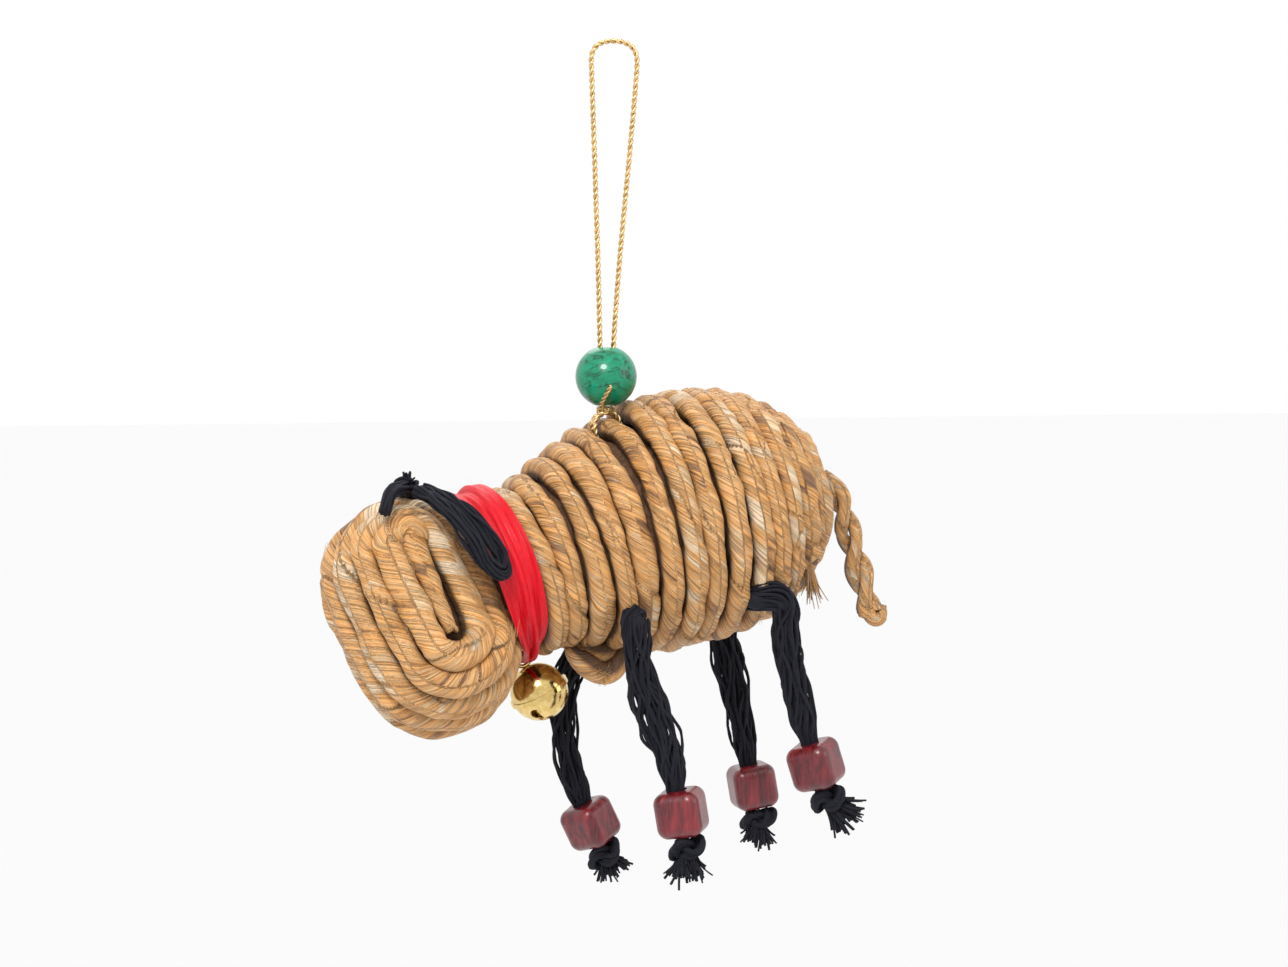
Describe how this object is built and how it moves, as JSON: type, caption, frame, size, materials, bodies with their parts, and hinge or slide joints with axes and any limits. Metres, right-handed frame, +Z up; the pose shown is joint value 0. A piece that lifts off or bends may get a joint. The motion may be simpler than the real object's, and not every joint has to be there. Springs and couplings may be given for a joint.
{
  "type": "straw goat ornament",
  "caption": "Hanging goat ornament wound from twisted leaf rope, with yarn legs on wooden cubes, yarn ears, a belled neck ribbon, a rope tail and a beaded cord loop.",
  "frame": {"origin": "top of the hanging loop, where it lies over a hook", "axes": "+Z up along the hanging cord, head towards -X, the animal's left side towards -Y"},
  "size_m": [0.1006, 0.044, 0.1458],
  "materials": {
    "leaf_rope": "twisted dry leaf, satin",
    "leaf_core": "packed dry leaf, matt",
    "leaf_tail": "twisted dry leaf, pale, satin",
    "black_yarn": "wool yarn, matt",
    "gold_cord": "metallic thread, twisted",
    "green_bead": "dyed wood, gloss lacquer",
    "red_cube": "dyed wood, satin",
    "red_satin": "satin ribbon",
    "bell_brass": "polished"
  },
  "bodies": {
    "hanging_cord_body": {"hanging_cord": "gold_cord"},
    "green_bead_body": {"hanger_bead": "green_bead"},
    "hitch": {"cord_hitch": "gold_cord"},
    "bell": {"bell_top_shell": "bell_brass", "bell_claw_shell": "bell_brass", "bell_shank": "bell_brass"},
    "bell_ball": {"bell_pea": "bell_brass"},
    "ear_left": {"left_ear": "black_yarn"},
    "ear_right": {"right_ear": "black_yarn"},
    "tail_body": {"tail": "leaf_tail"},
    "front_left_leg": {"front_left_leg_yarn": "black_yarn", "front_left_foot_tuft": "black_yarn"},
    "front_left_bead": {"front_left_cube_bead": "red_cube"},
    "front_right_leg": {"front_right_leg_yarn": "black_yarn", "front_right_foot_tuft": "black_yarn"},
    "front_right_bead": {"front_right_cube_bead": "red_cube"},
    "rear_left_leg": {"rear_left_leg_yarn": "black_yarn", "rear_left_foot_tuft": "black_yarn"},
    "rear_left_bead": {"rear_left_cube_bead": "red_cube"},
    "rear_right_leg": {"rear_right_leg_yarn": "black_yarn", "rear_right_foot_tuft": "black_yarn"},
    "rear_right_bead": {"rear_right_cube_bead": "red_cube"},
    "goat": {"belly_rope_end": "leaf_rope", "body_core": "leaf_core", "body_winding": "leaf_rope", "crown_knot": "black_yarn", "crown_yarn_end": "black_yarn", "front_cross_yarn": "black_yarn", "head_coil_left": "leaf_rope", "head_coil_right": "leaf_rope", "head_core": "leaf_core", "head_winding": "leaf_rope", "neck_core": "leaf_core", "neck_ribbon": "red_satin", "rear_cross_yarn": "black_yarn", "rump_coil": "leaf_rope", "rump_rope_end": "leaf_rope"}
  },
  "joints": [
    {"name": "bead_slide", "type": "slide", "parent": "hanging_cord_body", "child": "green_bead_body", "axis": [0, 0, 1], "range_m": [0, 0.015], "deforming": ["hanging_cord"]},
    {"name": "goat_turn", "type": "hinge", "parent": "hanging_cord_body", "child": "hitch", "pos_m": [0, 0, -0.06569], "axis": [0, 0, 1], "range_deg": [-90, 90]},
    {"name": "goat_swing", "type": "hinge", "parent": "hitch", "child": "goat", "pos_m": [0, 0, -0.06569], "axis": [0, 1, 0], "range_deg": [-4, 20]},
    {"name": "bell_swing", "type": "hinge", "parent": "goat", "child": "bell", "pos_m": [-0.01522, 0, -0.1043], "axis": [0, 1, 0], "range_deg": [-14, 0]},
    {"name": "bell_rattle", "type": "slide", "parent": "bell", "child": "bell_ball", "axis": [0, 0, 1], "range_m": [0, 0.006]},
    {"name": "left_ear_lift", "type": "hinge", "parent": "goat", "child": "ear_left", "pos_m": [-0.0342, -0.0034, -0.0756], "axis": [-1, 0, 0], "range_deg": [0, 50]},
    {"name": "right_ear_lift", "type": "hinge", "parent": "goat", "child": "ear_right", "pos_m": [-0.0342, 0.0034, -0.0756], "axis": [1, 0, 0], "range_deg": [0, 50]},
    {"name": "tail_bend", "type": "hinge", "parent": "goat", "child": "tail_body", "pos_m": [0.0436, 0, -0.0776], "axis": [0, 1, 0], "range_deg": [-60, 5]},
    {"name": "front_left_hip", "type": "hinge", "parent": "goat", "child": "front_left_leg", "pos_m": [-0.0015, -0.0168, -0.0975], "axis": [0, 1, 0], "range_deg": [-12, 35], "stiffness_Nm_per_rad": 0.0001, "springref_deg": -13.18},
    {"name": "front_left_bead_spin", "type": "hinge", "parent": "front_left_leg", "child": "front_left_bead", "pos_m": [0.0068, -0.0168, -0.1294], "axis": [0.1732, 0, -0.9849], "continuous": true},
    {"name": "front_right_hip", "type": "hinge", "parent": "goat", "child": "front_right_leg", "pos_m": [0.0062, 0.0168, -0.101], "axis": [0, 1, 0], "range_deg": [-12, 35], "stiffness_Nm_per_rad": 0.0001, "springref_deg": 5.83},
    {"name": "front_right_bead_spin", "type": "hinge", "parent": "front_right_leg", "child": "front_right_bead", "pos_m": [0.0036, 0.0168, -0.1353], "axis": [0.4437, 0, -0.8962], "continuous": true},
    {"name": "rear_left_hip", "type": "hinge", "parent": "goat", "child": "rear_left_leg", "pos_m": [0.026, -0.0166, -0.0952], "axis": [0, 1, 0], "range_deg": [-35, 12], "stiffness_Nm_per_rad": 0.0001, "springref_deg": -8.57},
    {"name": "rear_left_bead_spin", "type": "hinge", "parent": "rear_left_leg", "child": "rear_left_bead", "pos_m": [0.0315, -0.0166, -0.1225], "axis": [0.3091, 0, -0.951], "continuous": true},
    {"name": "rear_right_hip", "type": "hinge", "parent": "goat", "child": "rear_right_leg", "pos_m": [0.0271, 0.0166, -0.0952], "axis": [0, 1, 0], "range_deg": [-35, 12], "stiffness_Nm_per_rad": 0.0001, "springref_deg": -11.89},
    {"name": "rear_right_bead_spin", "type": "hinge", "parent": "rear_right_leg", "child": "rear_right_bead", "pos_m": [0.0344, 0.0166, -0.1302], "axis": [0.1772, 0, -0.9842], "continuous": true}
  ]
}
